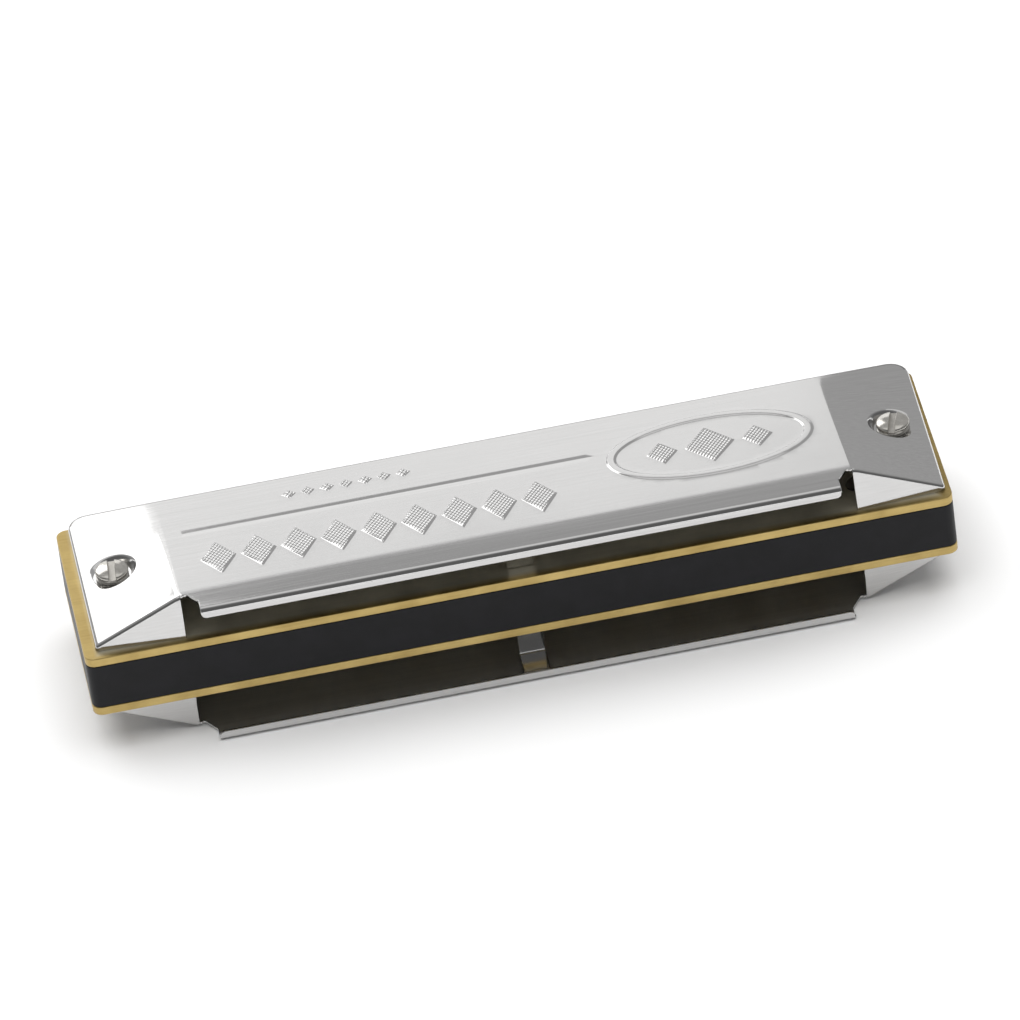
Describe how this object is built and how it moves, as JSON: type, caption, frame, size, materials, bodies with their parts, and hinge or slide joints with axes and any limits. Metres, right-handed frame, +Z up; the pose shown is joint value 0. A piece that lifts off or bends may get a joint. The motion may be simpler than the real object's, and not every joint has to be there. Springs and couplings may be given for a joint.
{
  "type": "harmonica",
  "caption": "Diatonic harmonica: black comb between brass reed plates, sprung reeds over the holes, and bright steel covers open at the back.",
  "frame": {"origin": "centre of the whole harmonica's bounding box, on the middle plane of the comb", "axes": "+X along the row of holes from hole 1 to hole 10, +Y towards the covers' open backs, +Z up towards the blow reed plate; the mouth holes face -Y"},
  "size_m": [0.1016, 0.0278, 0.0194],
  "materials": {
    "comb": "smooth satin black moulding",
    "reed_plate": "fine-ground sheet brass with bright bevelled edges",
    "cover": "polished stainless sheet with faint lengthwise grain",
    "reed": "lengthwise milled brass",
    "rivet": "turned brass",
    "fastener": "bright nickel plate"
  },
  "bodies": {
    "root": {"comb": "comb", "upper_reed_plate": "reed_plate", "lower_reed_plate": "reed_plate", "upper_cover": "cover", "lower_cover": "cover", "blow_reed_roots": "reed", "draw_reed_roots": "reed", "blow_reed_rivets": "rivet", "draw_reed_rivets": "rivet", "cover_screws": "fastener", "cover_nuts": "fastener", "upper_plate_screws": "fastener", "lower_plate_screws": "fastener"},
    "blow_reed_1": {"blow_reed_1": "reed"},
    "blow_reed_2": {"blow_reed_2": "reed"},
    "blow_reed_3": {"blow_reed_3": "reed"},
    "blow_reed_4": {"blow_reed_4": "reed"},
    "blow_reed_5": {"blow_reed_5": "reed"},
    "blow_reed_6": {"blow_reed_6": "reed"},
    "blow_reed_7": {"blow_reed_7": "reed"},
    "blow_reed_8": {"blow_reed_8": "reed"},
    "blow_reed_9": {"blow_reed_9": "reed"},
    "blow_reed_10": {"blow_reed_10": "reed"},
    "draw_reed_1": {"draw_reed_1": "reed"},
    "draw_reed_2": {"draw_reed_2": "reed"},
    "draw_reed_3": {"draw_reed_3": "reed"},
    "draw_reed_4": {"draw_reed_4": "reed"},
    "draw_reed_5": {"draw_reed_5": "reed"},
    "draw_reed_6": {"draw_reed_6": "reed"},
    "draw_reed_7": {"draw_reed_7": "reed"},
    "draw_reed_8": {"draw_reed_8": "reed"},
    "draw_reed_9": {"draw_reed_9": "reed"},
    "draw_reed_10": {"draw_reed_10": "reed"}
  },
  "joints": [
    {"name": "blow_reed_1_flex", "type": "hinge", "parent": "root", "child": "blow_reed_1", "pos_m": [-0.03375, -0.00833, 0.00278], "axis": [1, 0, 0], "range_deg": [-4, 4], "stiffness_Nm_per_rad": 0.0144},
    {"name": "blow_reed_2_flex", "type": "hinge", "parent": "root", "child": "blow_reed_2", "pos_m": [-0.02625, -0.00833, 0.00278], "axis": [1, 0, 0], "range_deg": [-3.9, 3.9], "stiffness_Nm_per_rad": 0.0189},
    {"name": "blow_reed_3_flex", "type": "hinge", "parent": "root", "child": "blow_reed_3", "pos_m": [-0.01875, -0.00833, 0.00278], "axis": [1, 0, 0], "range_deg": [-3.8, 3.8], "stiffness_Nm_per_rad": 0.022},
    {"name": "blow_reed_4_flex", "type": "hinge", "parent": "root", "child": "blow_reed_4", "pos_m": [-0.01125, -0.00833, 0.00278], "axis": [1, 0, 0], "range_deg": [-3.7, 3.7], "stiffness_Nm_per_rad": 0.0319},
    {"name": "blow_reed_5_flex", "type": "hinge", "parent": "root", "child": "blow_reed_5", "pos_m": [-0.00375, -0.00833, 0.00278], "axis": [1, 0, 0], "range_deg": [-3.6, 3.6], "stiffness_Nm_per_rad": 0.0407},
    {"name": "blow_reed_6_flex", "type": "hinge", "parent": "root", "child": "blow_reed_6", "pos_m": [0.00375, -0.00833, 0.00278], "axis": [1, 0, 0], "range_deg": [-3.6, 3.6], "stiffness_Nm_per_rad": 0.0458},
    {"name": "blow_reed_7_flex", "type": "hinge", "parent": "root", "child": "blow_reed_7", "pos_m": [0.01125, -0.00833, 0.00278], "axis": [1, 0, 0], "range_deg": [-3.5, 3.5], "stiffness_Nm_per_rad": 0.0638},
    {"name": "blow_reed_8_flex", "type": "hinge", "parent": "root", "child": "blow_reed_8", "pos_m": [0.01875, -0.00833, 0.00278], "axis": [1, 0, 0], "range_deg": [-3.4, 3.4], "stiffness_Nm_per_rad": 0.0776},
    {"name": "blow_reed_9_flex", "type": "hinge", "parent": "root", "child": "blow_reed_9", "pos_m": [0.02625, -0.00833, 0.00278], "axis": [1, 0, 0], "range_deg": [-3.3, 3.3], "stiffness_Nm_per_rad": 0.0823},
    {"name": "blow_reed_10_flex", "type": "hinge", "parent": "root", "child": "blow_reed_10", "pos_m": [0.03375, -0.00833, 0.00278], "axis": [1, 0, 0], "range_deg": [-3.2, 3.2], "stiffness_Nm_per_rad": 0.107},
    {"name": "draw_reed_1_flex", "type": "hinge", "parent": "root", "child": "draw_reed_1", "pos_m": [-0.03375, 0.00707, -0.00413], "axis": [1, 0, 0], "range_deg": [-4, 4], "stiffness_Nm_per_rad": 0.0181},
    {"name": "draw_reed_2_flex", "type": "hinge", "parent": "root", "child": "draw_reed_2", "pos_m": [-0.02625, 0.00626, -0.00413], "axis": [1, 0, 0], "range_deg": [-3.9, 3.9], "stiffness_Nm_per_rad": 0.0267},
    {"name": "draw_reed_3_flex", "type": "hinge", "parent": "root", "child": "draw_reed_3", "pos_m": [-0.01875, 0.00545, -0.00413], "axis": [1, 0, 0], "range_deg": [-3.8, 3.8], "stiffness_Nm_per_rad": 0.0349},
    {"name": "draw_reed_4_flex", "type": "hinge", "parent": "root", "child": "draw_reed_4", "pos_m": [-0.01125, 0.00464, -0.00413], "axis": [1, 0, 0], "range_deg": [-3.7, 3.7], "stiffness_Nm_per_rad": 0.0402},
    {"name": "draw_reed_5_flex", "type": "hinge", "parent": "root", "child": "draw_reed_5", "pos_m": [-0.00375, 0.00383, -0.00413], "axis": [1, 0, 0], "range_deg": [-3.6, 3.6], "stiffness_Nm_per_rad": 0.0457},
    {"name": "draw_reed_6_flex", "type": "hinge", "parent": "root", "child": "draw_reed_6", "pos_m": [0.00375, 0.00302, -0.00413], "axis": [1, 0, 0], "range_deg": [-3.6, 3.6], "stiffness_Nm_per_rad": 0.0577},
    {"name": "draw_reed_7_flex", "type": "hinge", "parent": "root", "child": "draw_reed_7", "pos_m": [0.01125, 0.00221, -0.00413], "axis": [1, 0, 0], "range_deg": [-3.5, 3.5], "stiffness_Nm_per_rad": 0.0568},
    {"name": "draw_reed_8_flex", "type": "hinge", "parent": "root", "child": "draw_reed_8", "pos_m": [0.01875, 0.0014, -0.00413], "axis": [1, 0, 0], "range_deg": [-3.4, 3.4], "stiffness_Nm_per_rad": 0.0616},
    {"name": "draw_reed_9_flex", "type": "hinge", "parent": "root", "child": "draw_reed_9", "pos_m": [0.02625, 0.00059, -0.00413], "axis": [1, 0, 0], "range_deg": [-3.3, 3.3], "stiffness_Nm_per_rad": 0.0654},
    {"name": "draw_reed_10_flex", "type": "hinge", "parent": "root", "child": "draw_reed_10", "pos_m": [0.03375, -0.00022, -0.00413], "axis": [1, 0, 0], "range_deg": [-3.2, 3.2], "stiffness_Nm_per_rad": 0.076}
  ]
}
